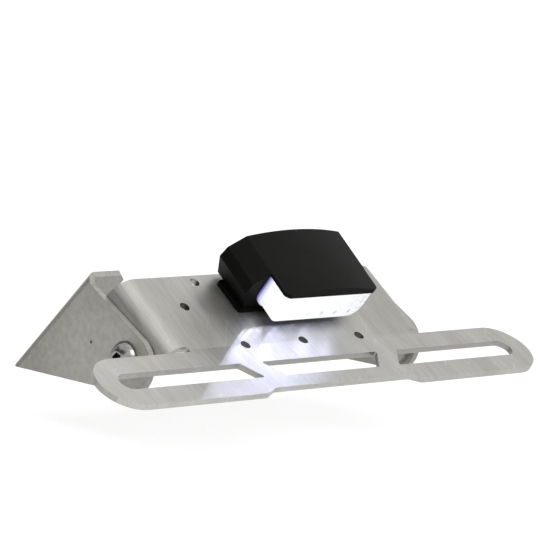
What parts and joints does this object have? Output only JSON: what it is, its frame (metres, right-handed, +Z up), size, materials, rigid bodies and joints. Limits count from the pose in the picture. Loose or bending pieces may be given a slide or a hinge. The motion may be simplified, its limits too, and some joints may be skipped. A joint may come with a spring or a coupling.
{
  "type": "motorcycle tail tidy",
  "caption": "Folded sheet-steel tail tidy: a slotted number-plate bracket pivots between the cheeks of a tail bracket and carries a hooded lamp.",
  "frame": {"origin": "centre of the bounding box in X and Y, on the floor under the cheeks", "axes": "+X across to the rider's right as the number plate is read, -Y towards the number plate, +Z up"},
  "size_m": [0.233, 0.1172, 0.0614],
  "materials": {
    "stainless_sheet": "brushed stainless sheet, grain along the slope",
    "fixings": "plain bright steel",
    "rubber": "matt",
    "lamp_black": "fine matt moulded",
    "lamp_clear": "clear",
    "board": "white solder mask",
    "led_white": "clear domed, lit"
  },
  "bodies": {
    "tail": {"tail_bracket": "stainless_sheet", "pivot_screw_left": "fixings", "pivot_screw_right": "fixings", "pivot_washer_left": "fixings", "pivot_washer_right": "fixings", "pivot_nut_left": "fixings", "pivot_nut_right": "fixings"},
    "plate": {"plate_bracket": "stainless_sheet", "lamp_pad": "rubber", "lamp_housing": "lamp_black", "lamp_lens": "lamp_clear", "lamp_board": "board", "lamp_leds": "led_white", "lamp_stud_left": "fixings", "lamp_stud_right": "fixings", "lamp_washer_left": "fixings", "lamp_washer_right": "fixings", "lamp_nut_left": "fixings", "lamp_nut_right": "fixings", "lead_grommet": "rubber"}
  },
  "joints": [
    {"name": "plate_tilt", "type": "hinge", "parent": "tail", "child": "plate", "pos_m": [0, -0.01028, 0.0131], "axis": [1, 0, 0], "range_deg": [-20, 25]}
  ]
}
